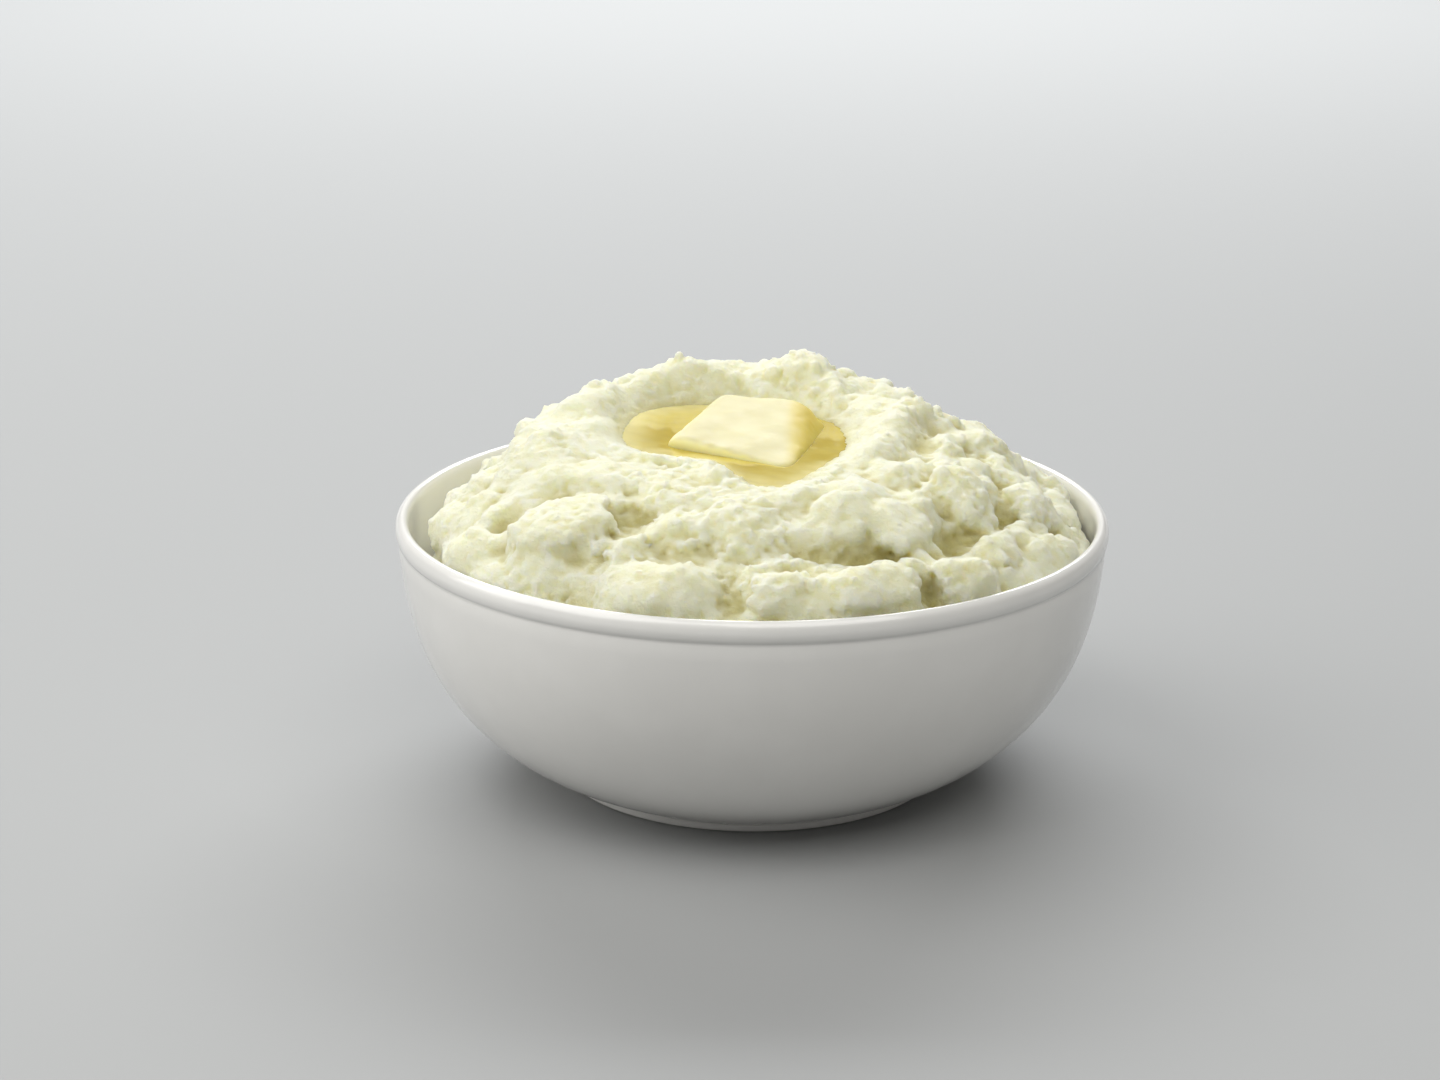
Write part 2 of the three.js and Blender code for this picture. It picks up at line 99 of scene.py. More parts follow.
def add_camera():
    data = bpy.data.cameras.new("camera")
    data.lens = CAMERA_LENS
    data.sensor_width = 36.0
    data.clip_start = 0.05
    camera = bpy.data.objects.new("camera", data)
    bpy.context.scene.collection.objects.link(camera)
    turn = (CAMERA_AIM - CAMERA_PLACE).to_track_quat("-Z", "Y").to_matrix().to_4x4()
    camera.matrix_world = (
        Matrix.Translation(CAMERA_PLACE) @ turn @ Matrix.Rotation(CAMERA_ROLL, 4, "Z")
    )
    bpy.context.scene.camera = camera


# ---- Grids of distances ----


class Grid:
    """A box of evenly spaced points, in millimetres, and what is worked out on it."""

    def __init__(self, low, high, step):
        self.step = step
        self.low = np.array(low, float)
        self.shape = tuple(int(math.ceil(s / step)) + 1 for s in np.array(high) - self.low)
        self.axes = [self.low[k] + step * np.arange(self.shape[k]) for k in range(3)]
        across, deep = (np.fft.fftfreq(n, step) for n in self.shape[:2])
        up = np.fft.rfftfreq(self.shape[2], step)
        self.waves = (
            across[:, None, None] ** 2 + deep[None, :, None] ** 2 + up[None, None, :] ** 2
        ).astype(np.float32)

    def mesh_axes(self):
        x, y, z = self.axes
        return x[:, None, None], y[None, :, None], z[None, None, :]

    def distance_to(self, obj):
        """Signed distance to a closed mesh, cut off at BAND, negative inside."""
        mesh = obj.data
        mesh.calc_loop_triangles()
        points = np.empty(len(mesh.vertices) * 3, np.float32)
        mesh.vertices.foreach_get("co", points)
        corners = np.empty(len(mesh.loop_triangles) * 3, np.int32)
        mesh.loop_triangles.foreach_get("vertices", corners)
        transform = openvdb.createLinearTransform(voxelSize=self.step)
        transform.postTranslate(self.low.tolist())
        level_set = openvdb.FloatGrid.createLevelSetFromPolygons(
            points.reshape(-1, 3) / MM,
            triangles=corners.reshape(-1, 3).astype(np.uint32),
            transform=transform,
            halfWidth=BAND / self.step,
        )
        values = np.empty(self.shape, np.float32)
        level_set.copyToArray(values)
        return values

    def blur(self, values, sigma):
        """Gaussian blur of that standard deviation."""
        spectrum = np.fft.rfftn(values)
        spectrum *= np.exp(-2.0 * (math.pi * sigma) ** 2 * self.waves)
        return np.fft.irfftn(spectrum, self.shape).astype(np.float32)

    def noise(self, random, sigma):
        """Smooth noise of unit deviation, in blobs about five sigma across."""
        values = self.blur(random.standard_normal(self.shape, np.float32), sigma)
        return values / values.std()

    def at(self, values, points):
        """Values between the grid's points, in a straight line along each axis."""
        place = (points - self.low) / self.step
        place = np.clip(place, 0, np.array(self.shape) - 1.001)
        cell = place.astype(int)
        part = place - cell
        total = np.zeros(len(points))
        for i in (0, 1):
            for j in (0, 1):
                for k in (0, 1):
                    share = (
                        (part[:, 0] if i else 1 - part[:, 0])
                        * (part[:, 1] if j else 1 - part[:, 1])
                        * (part[:, 2] if k else 1 - part[:, 2])
                    )
                    total += share * values[cell[:, 0] + i, cell[:, 1] + j, cell[:, 2] + k]
        return total

    def surface(self, name, values, merge):
        """The surface where the distances are 0, as a mesh object, and its points in millimetres.

        `merge` is how far flat neighbouring faces are joined, from 0 to 1.
        """
        grid = openvdb.FloatGrid(BAND)
        grid.transform = openvdb.createLinearTransform(voxelSize=self.step)
        grid.transform.postTranslate(self.low.tolist())
        grid.copyFromArray(np.clip(values, -BAND, BAND).astype(np.float32))
        points, triangles, quads = grid.convertToPolygons(0.0, merge)
        mesh = bpy.data.meshes.new(name)
        mesh.from_pydata((points * MM).tolist(), [], triangles.tolist() + quads.tolist())
        mesh.validate()
        mesh.polygons.foreach_set("use_smooth", [True] * len(mesh.polygons))
        normals = np.stack([self.at(slope, points) for slope in np.gradient(values, self.step)], -1)
        normals /= np.linalg.norm(normals, axis=1, keepdims=True) + 1e-6
        mesh.normals_split_custom_set_from_vertices(normals.tolist())
        obj = bpy.data.objects.new(name, mesh)
        bpy.context.scene.collection.objects.link(obj)
        return obj, points


def ramp(values, low, high):
    """0 below `low`, 1 above `high` and a smooth rise between."""
    share = np.clip((values - low) / (high - low), 0.0, 1.0)
    return share * share * (3.0 - 2.0 * share)


def soft_min(a, b, width):
    """The lesser of two distances, with the crease between them filled."""
    share = np.clip(0.5 + 0.5 * (b - a) / width, 0.0, 1.0)
    return b + (a - b) * share - width * share * (1.0 - share)


def store(obj, name, values):
    attribute = obj.data.attributes.new(name, "FLOAT", "POINT")
    attribute.data.foreach_set("value", np.asarray(values, np.float32))


# ---- The bowl ----


def bezier(points, steps):
    a, b, c, d = (np.array(p, float) for p in points)
    t = np.linspace(0.0, 1.0, steps + 1)[:, None]
    return (1 - t) ** 3 * a + 3 * (1 - t) ** 2 * t * b + 3 * (1 - t) * t * t * c + t**3 * d


FLOOR_LEVEL = FOOT_HEIGHT + FLOOR_THICKNESS
BEAD_LOW = BOWL_HEIGHT - RIM_BEAD
WALL_STEPS = 28
INNER_WALL = bezier([(45, FLOOR_LEVEL), (71.5, 9.6), (93.8, 29.5), (95.9, BEAD_LOW)], WALL_STEPS)
OUTER_WALL = bezier(
    [(FOOT_RADIUS + 1.2, FOOT_HEIGHT + 0.3), (75.5, 11.6), (97.2, 27.6), (99.2, BEAD_LOW - 0.6)],
    WALL_STEPS,
)


def smooth_line(points, steps):
    """A Catmull-Rom line through the points."""
    p = np.array(points, float)
    p = np.vstack([2 * p[0] - p[1], p, 2 * p[-1] - p[-2]])
    line = []
    for i in range(1, len(p) - 2):
        for s in range(steps):
            t = s / steps
            line.append(
                0.5
                * (
                    2 * p[i]
                    + (p[i + 1] - p[i - 1]) * t
                    + (2 * p[i - 1] - 5 * p[i] + 4 * p[i + 1] - p[i + 2]) * t * t
                    + (3 * p[i] - p[i - 1] - 3 * p[i + 1] + p[i + 2]) * t**3
                )
            )
    line.append(p[-2])
    return np.array(line)


def bowl_profile():
    """The bowl's section, from the middle of its underside round the rim to its floor."""
    foot = smooth_line(
        [
            (FOOT_RADIUS - FOOT_WIDTH - 3.0, FOOT_HEIGHT),
            (FOOT_RADIUS - FOOT_WIDTH, FOOT_HEIGHT - 0.5),
            (FOOT_RADIUS - FOOT_WIDTH + 0.9, 0.5),
            (FOOT_RADIUS - FOOT_WIDTH + 1.9, 0.0),
            (FOOT_RADIUS - 1.6, 0.0),
            (FOOT_RADIUS - 0.3, 0.6),
            (FOOT_RADIUS - 0.2, 1.6),
            (FOOT_RADIUS - 0.3, FOOT_HEIGHT - 0.5),
        ],
        4,
    )
    rim = smooth_line(
        [
            (RIM_RADIUS - 1.0, BEAD_LOW + 0.1),
            (RIM_RADIUS - 0.3, BEAD_LOW + 1.2),
            (RIM_RADIUS, BEAD_LOW + 3.0),
            (RIM_RADIUS - 0.4, BEAD_LOW + 4.9),
            (RIM_RADIUS - 1.4, BOWL_HEIGHT - 0.2),
            (RIM_RADIUS - 2.2, BOWL_HEIGHT),
            (RIM_RADIUS - 3.1, BOWL_HEIGHT - 0.5),
            (RIM_RADIUS - 3.7, BOWL_HEIGHT - 1.9),
            (RIM_RADIUS - 3.95, BOWL_HEIGHT - 4.0),
        ],
        5,
    )
    profile = np.vstack(
        [
            [(0.0, FOOT_HEIGHT), (25.0, FOOT_HEIGHT)],
            foot,
            OUTER_WALL,
            rim,
            INNER_WALL[::-1],
            [(25.0, FLOOR_LEVEL - 0.1), (0.0, FLOOR_LEVEL - 0.2)],
        ]
    )
    profile[:, 1] = np.clip(profile[:, 1], 0.0, BOWL_HEIGHT)
    return profile


def make_bowl():
    profile = bowl_profile()
    turn = 2 * math.pi * np.arange(BOWL_SIDES) / BOWL_SIDES
    points, rings = [], []
    for radius, height in profile:
        if radius == 0.0:
            rings.append([len(points)])
            points.append((0.0, 0.0, height * MM))
            continue
        rings.append(list(range(len(points), len(points) + BOWL_SIDES)))
        points += [
            (radius * MM * math.cos(a), radius * MM * math.sin(a), height * MM) for a in turn
        ]
    faces = []
    for low, high in zip(rings, rings[1:]):
        for i in range(BOWL_SIDES):
            j = (i + 1) % BOWL_SIDES
            if len(low) == 1:
                faces.append((low[0], high[j], high[i]))
            elif len(high) == 1:
                faces.append((low[i], low[j], high[0]))
            else:
                faces.append((low[i], low[j], high[j], high[i]))
    mesh = bpy.data.meshes.new("glazed_bowl")
    mesh.from_pydata(points, [], faces)
    mesh.polygons.foreach_set("use_smooth", [True] * len(mesh.polygons))
    obj = bpy.data.objects.new("glazed_bowl", mesh)
    bpy.context.scene.collection.objects.link(obj)
    return obj


def wall_radius(height):
    """Inner radius of the bowl at a height, up past its rim."""
    radii = np.append(INNER_WALL[:, 0], INNER_WALL[-1, 0] + 0.1)
    heights = np.append(INNER_WALL[:, 1], BOWL_HEIGHT)
    return np.interp(height, heights, radii)


# ---- The mash ----

MASH_GRID = Grid((-98, -98, 3), (98, 98, 113), FINE)
MASH_TOP = 108.6
TOP_CREASE = 1.5
LEFT_SWELL = 2.5  # how far the heap stands out more at the far left

# Relief: the blobs' size, how deep it is, and how much deeper in rougher patches.
RELIEF = [
    (3.0, 0.25, 0.0),
    (1.6, 0.08, 0.08),
    (1.0, 0.08, 0.1),
    (0.6, 0.2, 0.14),
]
# Loose lumps: how many, least and greatest radius, how deep their middles lie by their radius.
CLODS = (220, 2.0, 5.0, 0.78)
CRUMBS = (1700, 0.8, 1.8, 0.7)
CREST_CRUMBS = (320, 0.8, 2.4, 0.5)

# Where the crest is higher or lower: the place, how wide and deep in plan, and how much.
CREST = [
    (33, 42, 9.0, 14.0, -5.0),
    (-3, 60, 6.0, 12.0, -3.5),
    (-38, 46, 6.0, 12.0, -2.0),
    (16, 58, 7.0, 8.0, 3.0),
    (-20, 58, 5.0, 6.0, 2.5),
]

# Spoonfuls that stand out of the heap: the place on it, half their width and half their length
# downhill, how far they turn from that, in degrees, and how far they rise.
SPOONFULS = [
    (23, -60, 8.0, 9.0, 0, 1.6),  # right half: the blocky pair under the long ridge
    (39, -57, 9.5, 9.0, -15, 1.6),
    (58, -36, 7.0, 12.0, 10, 2.0),  # tall round one
    (67, -54, 4.5, 6.0, 0, 1.4),
    (79, -20, 7.5, 9.0, 20, 1.6),
    (81, -44, 8.0, 6.5, 0, 1.5),
    (56, -75, 9.0, 7.0, 10, 1.8),  # along the rim
    (33, -83, 12.0, 7.0, 5, 1.6),
    (19, -87, 8.5, 6.0, 0, 1.2),
    (7, -89, 7.0, 6.0, 0, 1.4),
    (50, -8, 6.0, 9.0, 0, 1.0),
    (65, 2, 8.5, 12.0, -10, 1.4),
    (80, 22, 5.0, 8.0, 0, 1.4),
    (35, 28, 7.0, 6.0, 0, 1.2),  # behind the butter
    (15, 53, 6.5, 6.0, 0, 1.2),
    (23, 38, 4.0, 4.0, 0, 1.2),
    (7, -69, 9.5, 5.0, 0, 1.2),
    (5, -57, 8.5, 5.0, 10, 1.0),
    (57, -60, 6.0, 5.0, 0, 1.2),
    (-51, -54, 13.0, 15.0, 0, 0.9),  # left half: the broad belly
    (-49, 15, 9.0, 10.0, 0, 1.0),
    (-61, 5, 7.0, 9.0, 10, 0.9),
    (-49, -18, 11.0, 11.0, 0, 0.9),
    (-80, -10, 7.0, 9.0, 10, 1.2),
    (-70, 4, 7.0, 9.0, 0, 1.0),
    (-74, -46, 9.5, 9.0, 0, 1.2),
    (-61, -65, 7.0, 5.0, 0, 1.0),
    (-30, -84, 11.0, 8.0, 0, 1.4),
    (-15, -86, 8.5, 8.0, 0, 1.6),
    (-19, -62, 9.0, 7.0, 0, 1.3),
    (-33, -40, 8.5, 8.0, 0, 0.9),
    (-5, -62, 7.5, 7.0, 0, 1.2),
    (-5, 54, 6.0, 4.0, 0, 0.8),
    (-16, -34, 9.5, 5.0, 0, 0.8),
]
SPOON_CREASE = 1.4

# Pockets between the spoonfuls: the place, half the width and half the length downhill, the depth.
POCKETS = [
    (-33, -52, 7.0, 4.0, 1.4),
    (-19, -67, 6.5, 3.0, 1.8),
    (-44, -70, 8.0, 3.5, 1.8),
    (-65, -42, 3.5, 6.0, 1.2),
    (-2, -76, 6.5, 3.0, 2.0),
    (-4, -88, 4.0, 6.0, 2.0),
    (10, -79, 8.5, 2.6, 2.2),
    (30, -67, 8.5, 3.0, 2.4),
    (46, -76, 3.0, 6.0, 2.2),
    (57, -47, 6.5, 3.5, 2.0),
    (70, -28, 3.5, 6.0, 2.2),
    (69, -57, 3.5, 3.5, 1.6),
]
POCKET_ABOVE = 1.5  # how high above the heap a pocket's middle lies
POCKET_CREASE = 2.4


def join_lump(grid, distance, centre, axes, halves, crease, block=2.0, cut=False):
    """Joins a lump on to the shape in place, or cuts it out; `axes` are its directions, row by row.

    `block` is 2 for an ellipsoid and more for a lump with flatter sides.
    """
    reach = max(halves) + 2.0
    low = np.maximum(np.floor((centre - reach - grid.low) / grid.step).astype(int), 0)
    high = np.minimum(np.ceil((centre + reach - grid.low) / grid.step).astype(int) + 1, grid.shape)
    box = tuple(slice(a, b) for a, b in zip(low, high))
    x, y, z = (grid.axes[k][box[k]] - centre[k] for k in range(3))
    offset = np.stack(np.broadcast_arrays(x[:, None, None], y[None, :, None], z[None, None, :]), -1)
    scaled = np.abs(offset @ axes.T) / halves + 1e-6
    length = (scaled**block).sum(-1) ** (1.0 / block)
    slope = np.linalg.norm((scaled / length[..., None]) ** (block - 1.0) / halves, axis=-1)
    lump = (length - 1.0) / slope
    sign = -1.0 if cut else 1.0
    distance[box] = sign * soft_min(sign * distance[box], lump.astype(np.float32), crease)


def outwards(slopes, cell):
    direction = np.array([slope[tuple(cell)] for slope in slopes])
    return direction / (np.linalg.norm(direction) + 1e-6)


def lie_on_heap(grid, distance, slopes, x, y):
    """The heap's top at a place in plan, and the directions downhill, across and outwards there."""
    i, j = (int(round((v - low) / grid.step)) for v, low in zip((x, y), grid.low))
    k = np.nonzero(distance[i, j] < 0.0)[0].max()
    up = outwards(slopes, (i, j, k))
    downhill = np.array([up[0] * up[2], up[1] * up[2], up[2] ** 2 - 1.0])
    downhill /= np.linalg.norm(downhill) + 1e-6
    top = grid.low + grid.step * np.array([i, j, k])
    return top, downhill, np.cross(downhill, up), up


def cut_pockets(grid, distance, broad):
    """The pockets of the list, each cut into the heap's slope."""
    slopes = np.gradient(broad, grid.step)
    for x, y, half_width, half_length, depth in POCKETS:
        top, downhill, across, up = lie_on_heap(grid, distance, slopes, x, y)
        halves = np.array([half_width, half_length, depth + POCKET_ABOVE])
        axes = np.stack([across, downhill, up])
        centre = top + POCKET_ABOVE * up
        join_lump(grid, distance, centre, axes, halves, POCKET_CREASE, cut=True)


def add_spoonfuls(grid, distance, broad):
    """The spoonfuls of the list, each laid on the heap's slope, and blockier at the right."""
    slopes = np.gradient(broad, grid.step)
    for x, y, half_width, half_length, turn, rise in SPOONFULS:
        top, downhill, across, up = lie_on_heap(grid, distance, slopes, x, y)
        angle = math.radians(turn)
        long_axis = math.cos(angle) * downhill + math.sin(angle) * across
        axes = np.stack([np.cross(long_axis, up), long_axis, up])
        rise = (0.7 if x > 0 else 0.35) * rise
        thick = 0.45 * min(half_width, half_length) + rise
        halves = np.array([half_width, half_length, thick])
        block = 3.2 if x > 0 else 2.4
        centre = top - (thick - rise) * up
        join_lump(grid, distance, centre, axes, halves, SPOON_CREASE, block)


def add_lumps(grid, random, distance, where, count, least, most, sunk):
    """Lumps joined on to the surface, at places drawn by the weight `where`.

    `sunk` is how deep their middles lie, as a share of their radius.
    """
    near = np.argwhere((np.abs(distance) < 0.5 * grid.step) & (where > 0))
    weight = where[tuple(near.T)]
    chosen = near[random.choice(len(near), count, replace=False, p=weight / weight.sum())]
    slopes = np.gradient(distance, grid.step)
    for cell in chosen:
        size = least + (most - least) * random.random() ** 1.8
        halves = size / (0.8 + 0.9 * random.random(3))
        turn, _ = np.linalg.qr(random.standard_normal((3, 3)))
        centre = grid.low + grid.step * cell - sunk * size * outwards(slopes, cell)
        join_lump(grid, distance, centre, turn, halves, 0.2 + 0.15 * size, 2.6)


def shifted(grid, distance):
    """The shape with its crest raised and lowered by the list."""
    x, y, _ = grid.mesh_axes()
    lift = np.zeros(grid.shape[:2])
    for x0, y0, width, depth, rise in CREST:
        lift += rise * np.exp(-(((x - x0) / width) ** 2) - ((y - y0) / depth) ** 2)[:, :, 0]
    place = np.arange(grid.shape[2])[None, None, :] - lift[:, :, None] / grid.step
    place = np.clip(place, 0, grid.shape[2] - 1.001)
    cell = place.astype(int)
    part = place - cell
    low = np.take_along_axis(distance, cell, 2)
    high = np.take_along_axis(distance, cell + 1, 2)
    return (low + part * (high - low)).astype(np.float32)


def mash_distance():
    """The distances to the dressed heap, and to the melted butter's solid."""
    grid = MASH_GRID
    random = np.random.default_rng(SEED)
    x, y, z = grid.mesh_axes()
    solid = grid.distance_to(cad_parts["mashed_potato"])
    pool = grid.distance_to(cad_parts["melted_butter"])
    pat = grid.distance_to(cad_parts["butter_pat"])
    soft = grid.blur(solid, 1.1)
    broad = grid.blur(solid, 4.0)

    height = z + 0 * x + 0 * y
    radius = np.hypot(x, y) + 0 * z
    right = ramp(x + 0 * y + 0 * z, -20.0, 40.0)  # the right side is in bigger, cleaner lumps
    calm = 1.0 - 0.45 * np.exp(-np.maximum(pool, 0.0) / 4.0)  # smoother beside the butter
    patches = ramp(grid.noise(random, 7.0), -0.8, 1.0)
    open_top = (pool > 3.0) & (height > 58.0) & (radius < 93.0)

    # The bank and the brim round the butter, where `beyond` is how far outside it, in plan.
    level = int(round((POOL_LEVEL - 0.5 - grid.low[2]) / grid.step))
    beyond = np.maximum(np.minimum(pool, pat)[:, :, level : level + 1], -5.0)
    bank = (z - POOL_LEVEL - 0.3 - BANK_SLOPE * beyond) / math.hypot(1.0, BANK_SLOPE)
    brim = np.maximum(z - POOL_LEVEL - BRIM_SLOPE * beyond, np.abs(beyond - BRIM / 2) - BRIM / 2)
    brim = np.where(beyond < BRIM + 1.0, brim, BAND)

    shape = broad + (0.45 + 0.45 * right) * (soft - broad)
    shape = -soft_min(-shape, -bank, BANK_CREASE)
    shape = shape + 0.45 * calm + 0.3 * ramp(height, 99.0, 108.0)  # makes up for what is added
    leftmost = ramp(-x, 50.0, 80.0) * ramp(-y, -20.0, 5.0) * ramp(z, 62.0, 76.0)
    shape = shape - LEFT_SWELL * leftmost
    shape = soft_min(shape, brim, BRIM_CREASE)
    shape = shifted(grid, shape)
    add_spoonfuls(grid, shape, broad)
    cut_pockets(grid, shape, broad)

    clods = calm * (0.35 + 0.65 * right) * open_top
    add_lumps(grid, random, shape, clods, *CLODS)
    relief = sum((deep + more * patches) * grid.noise(random, size) for size, deep, more in RELIEF)
    shape = shape - calm * ramp(height, 60.0, 68.0) * relief
    edge = np.exp(-(((wall_radius(height) - radius - 7.0) / 7.0) ** 2))
    crumbs = calm * (0.25 + patches + 0.8 * edge) * open_top
    add_lumps(grid, random, shape, crumbs, *CRUMBS)
    crest = ramp(height, 92.0, 99.0) * (y > 30.0) * (pool > 6.0)
    add_lumps(grid, random, shape, crest, *CREST_CRUMBS)

    shape = np.maximum(shape, radius - (wall_radius(height) - WALL_GAP))
    shape = np.maximum(shape, FLOOR_LEVEL + WALL_GAP - z)
    shape = -soft_min(-shape, MASH_TOP - z, TOP_CREASE)
    return shape, pool


def make_mash():
    """The heap, with how deep each place lies in its hollows, which sets the shade painted there,
    and how near the melted butter.
    """
    shape, pool = mash_distance()
    obj, points = MASH_GRID.surface("mash", shape, 0.09)
    to_pool = np.maximum(MASH_GRID.at(pool, points), 0.0)
    # Painted shade eased: the hollows near the melted butter are painted less dark.
    shade_eased_by_butter = 1.5 * np.exp(-to_pool / 12.0)
    # Depths in the small pits, hollows and valleys, which set the painted shade in them.
    for name, reach in (("pits", 1.1), ("hollow_shade", 2.6), ("valley_shade", 5.0)):
        depth = MASH_GRID.at(MASH_GRID.blur(shape, reach), points)
        store(obj, name, depth if name == "pits" else depth + shade_eased_by_butter)
    store(obj, "butter", np.exp(-to_pool / 2.6))
    return obj, shape


# ---- The butter ----


def pat_distance(grid):
    """The pat's block, and how far beyond its melted right end a place is."""
    turn = Matrix.Rotation(PAT_TURN, 3, "Z") @ Matrix.Rotation(PAT_PITCH, 3, "X")
    turn = np.array(turn @ Matrix.Rotation(PAT_ROLL, 3, "Y"))
    x, y, z = (a - c for a, c in zip(grid.mesh_axes(), PAT_CENTRE))
    across, deep, up = (turn[0, k] * x + turn[1, k] * y + turn[2, k] * z for k in range(3))
    rightwards = np.clip(0.5 + across / PAT_SIZE[0], 0.0, 1.0)
    backwards = np.clip(0.5 + deep / PAT_SIZE[1], 0.0, 1.0)
    across = across - PAT_REACH * rightwards * (1.0 - backwards)
    up = up - PAT_RAISE - PAT_LIFT * rightwards * backwards
    deep = deep - PAT_SPREAD * rightwards * backwards
    deep = deep - PAT_SKEW * (1.0 - 2.0 * rightwards) * (1.0 - backwards)
    sides = [np.abs(v) - size / 2 + PAT_CORNER for v, size in zip((across, deep, up), PAT_SIZE)]
    outer = np.sqrt(sum(np.maximum(side, 0.0) ** 2 for side in sides))
    block = outer + np.minimum(np.maximum(np.maximum(*sides[:2]), sides[2]), 0.0) - PAT_CORNER
    below = up - PAT_SIZE[2] / 2
    edge = PAT_MELT[0] + (PAT_MELT[1] - PAT_MELT[0]) * (1.0 - backwards)
    melted = (across - edge + PAT_MELT_SLOPE * below) / math.hypot(1.0, PAT_MELT_SLOPE)
    bevel = (-across - PAT_SIZE[0] / 2 + PAT_BEVEL + below) / math.sqrt(2.0)
    block = -soft_min(-block, -bevel, 1.0)
    return -soft_min(-block, -melted, 3.5), melted


def make_pat():
    grid = Grid((-33, -23, 76), (31, 44, 106), SMOOTH)
    random = np.random.default_rng(SEED + 1)
    block, melted = pat_distance(grid)
    shape = grid.blur(np.clip(block, -BAND, BAND), 0.7)
    shape = shape - 0.16 * grid.noise(random, 3.2) - 0.05 * grid.noise(random, 1.0)
    obj, points = grid.surface("soft_pat", shape, 0.02)
    store(obj, "above", points[:, 2] - POOL_LEVEL)
    # How far each place faces up, which sets the painted light on the top and the sides.
    store(obj, "top_light_mask", grid.at(np.gradient(shape, grid.step)[2], points))
    store(obj, "melted", grid.at(melted, points))
    return obj


def make_pool(mash_shape):
    """The melted butter, with how deep it is over the mash at each place, and deeper still beside
    the pat's right end, partly for a painted shade there.
    """
    grid = Grid((-43, -45, 82), (32, 53, 97), SMOOTH)
    solid = grid.distance_to(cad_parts["melted_butter"])
    x, y = (a.ravel() for a in np.meshgrid(grid.axes[0], grid.axes[1], indexing="ij"))
    level = np.stack([x, y, np.full_like(x, POOL_LEVEL)], -1)
    to_mash = np.maximum(MASH_GRID.at(mash_shape, level), 0.0)
    rise = POOL_CLIMB * np.exp(-to_mash / POOL_CLIMB_WIDTH)
    top = (POOL_LEVEL + rise).reshape(grid.shape[:2])
    z = grid.axes[2][None, None, :]
    shape = np.maximum(solid - POOL_REACH, z - top[:, :, None])
    obj, points = grid.surface("liquid_butter", shape, 0.03)
    depth = np.zeros(len(points))
    for drop in np.arange(0.5, 9.5, 0.5):
        probe = points - np.array([0.0, 0.0, drop])
        depth += 0.5 * (MASH_GRID.at(mash_shape, probe) > 0.0)
    to_pat_shade = np.hypot(points[:, 0] - 24.0, 0.7 * (points[:, 1] - 12.0))  # painted darker gold there: partly deeper butter, partly painted shade beside the pat
    depth += 12.0 * np.exp(-((to_pat_shade / 15.0) ** 2))
    store(obj, "depth", depth)
    return obj


# ---- Materials ----


class Shader:
    """A material with one Principled surface, and short words for its nodes."""

    def __init__(self, name):
        self.material = bpy.data.materials.new(name)
        self.material.use_nodes = True
        self.tree = self.material.node_tree
        self.surface = self.tree.nodes["Principled BSDF"]
        place = self.node("ShaderNodeTexCoord")
        self.place = place.outputs["Object"]

    def node(self, kind, **values):
        node = self.tree.nodes.new(kind)
        for name, value in values.items():
            setattr(node, name, value)
        return node

    def link(self, source, target):
        self.tree.links.new(source, target)

    def drive(self, name, source):
        self.link(source, self.surface.inputs[name])

    def set(self, **values):
        for name, value in values.items():
            self.surface.inputs[name.replace("_", " ")].default_value = value

    def attribute(self, name):
        return self.node("ShaderNodeAttribute", attribute_name=name).outputs["Fac"]

    def noise(self, scale, detail, roughness=0.5):
        node = self.node("ShaderNodeTexNoise")
        node.inputs["Scale"].default_value = scale
        node.inputs["Detail"].default_value = detail
        node.inputs["Roughness"].default_value = roughness
        self.link(self.place, node.inputs["Vector"])
        return node.outputs["Fac"]

    def remap(self, source, low, high, new_low=0.0, new_high=1.0):
        """Takes `low` to `high` smoothly to `new_low` to `new_high`."""
        node = self.node("ShaderNodeMapRange", interpolation_type="SMOOTHSTEP")
        node.inputs["From Min"].default_value = low
        node.inputs["From Max"].default_value = high
        node.inputs["To Min"].default_value = new_low
        node.inputs["To Max"].default_value = new_high
        self.link(source, node.inputs["Value"])
        return node.outputs["Result"]

    def math(self, operation, a, b):
        node = self.node("ShaderNodeMath", operation=operation)
        for socket, value in zip(node.inputs, (a, b)):
            if isinstance(value, (int, float)):
                socket.default_value = value
            else:
                self.link(value, socket)
        return node.outputs[0]

    def mix(self, share, a, b):
        """A colour between a and b, each one a colour or a node's output."""
        node = self.node("ShaderNodeMix", data_type="RGBA")
        self.link(share, node.inputs["Factor"])
        for socket, value in ((node.inputs["A"], a), (node.inputs["B"], b)):
            if isinstance(value, tuple):
                socket.default_value = (*value, 1.0)
            else:
                self.link(value, socket)
        return node.outputs["Result"]

    def bump(self, height, distance, strength, under=None):
        node = self.node("ShaderNodeBump")
        node.inputs["Strength"].default_value = strength
        node.inputs["Distance"].default_value = distance
        self.link(height, node.inputs["Height"])
        if under is not None:
            self.link(under, node.inputs["Normal"])
        return node.outputs["Normal"]


def glaze_material():
    shader = Shader("white_glaze")
    shader.set(Roughness=0.16, IOR=1.5, Coat_Weight=0.35, Coat_Roughness=0.06)
    cloud = shader.remap(shader.noise(38.0, 3.0), 0.35, 0.7)
    shader.drive("Base Color", shader.mix(cloud, (0.79, 0.78, 0.75), (0.82, 0.81, 0.78)))
    shader.drive("Roughness", shader.remap(shader.noise(120.0, 2.0), 0.3, 0.7, 0.13, 0.2))
    ripple = shader.bump(shader.noise(55.0, 1.0), 0.00012, 0.5)
    pinholes = shader.bump(shader.noise(900.0, 2.0), 0.00002, 0.4, ripple)
    shader.drive("Normal", pinholes)
    return shader.material


